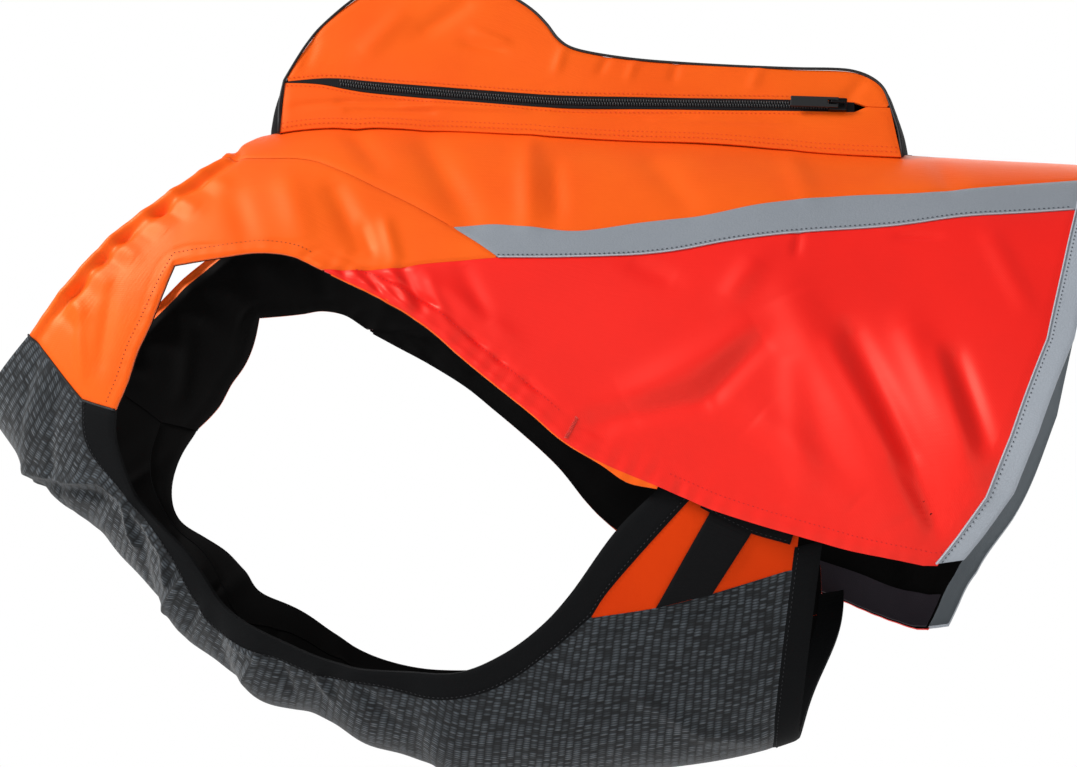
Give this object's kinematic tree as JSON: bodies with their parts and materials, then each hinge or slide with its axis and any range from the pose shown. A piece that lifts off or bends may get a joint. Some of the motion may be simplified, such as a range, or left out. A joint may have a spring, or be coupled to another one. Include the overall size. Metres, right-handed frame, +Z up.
{
  "type": "dog protective vest",
  "caption": "Worn-form protective vest for a large dog: chest and belly guard, side flaps with reflective edging, and a long zipped pouch on the back.",
  "frame": {"origin": "at the withers, on the front end of the vest's spine line, where the wearer's back holds it up", "axes": "-X towards the neck and the dog's head, -Y the dog's left side, +Z up"},
  "size_m": [0.6812, 0.2353, 0.4962],
  "materials": {
    "orange_cloth": "matte woven polyester, fluorescent orange",
    "red_cloth": "matte woven polyester, fluorescent red",
    "reflective_tape": "glass bead reflective tape, satin grey",
    "reflective_trim": "glass bead reflective tape, satin silver",
    "grey_cloth": "coarse ribbed abrasion-resistant weave, dark grey",
    "black_binding": "woven edge binding, black",
    "black_lining": "smooth lining cloth, black",
    "black_webbing": "woven webbing, black",
    "zip_tape": "woven zip tape, black",
    "zip_metal": "black lacquer",
    "pull_rubber": "moulded, matte black"
  },
  "bodies": {
    "vest": {"back_panel": "orange_cloth", "yoke_left": "orange_cloth", "yoke_right": "orange_cloth", "side_panel_left": "red_cloth", "side_panel_right": "red_cloth", "reflective_tape_left": "reflective_tape", "reflective_tape_right": "reflective_tape", "rear_trim": "reflective_trim", "chest_panel": "grey_cloth", "belly_side_left": "orange_cloth", "belly_side_right": "orange_cloth", "belly_webbing_left": "black_webbing", "belly_webbing_right": "black_webbing", "armhole_binding_left": "black_binding", "armhole_binding_right": "black_binding", "belly_top_binding_left": "black_binding", "belly_top_binding_right": "black_binding", "belly_rear_binding": "black_binding", "side_lining_left": "black_lining", "side_lining_right": "black_lining", "yoke_lining_left": "black_lining", "yoke_lining_right": "black_lining", "hem_facing_left": "black_lining", "hem_facing_right": "black_lining", "pouch_upper_left": "orange_cloth", "pouch_lower_left": "orange_cloth", "pouch_right": "orange_cloth", "pouch_gusset": "black_binding", "zip_tape": "zip_tape", "zip_slider": "zip_metal"},
    "zip_pull": {"zip_pull": "pull_rubber"}
  },
  "joints": [
    {"name": "zip_pull_hinge", "type": "hinge", "parent": "vest", "child": "zip_pull", "pos_m": [0.34708, -0.03092, 0.00316], "axis": [0.0617, 0.2582, 0.9641], "range_deg": [0, 125]}
  ]
}
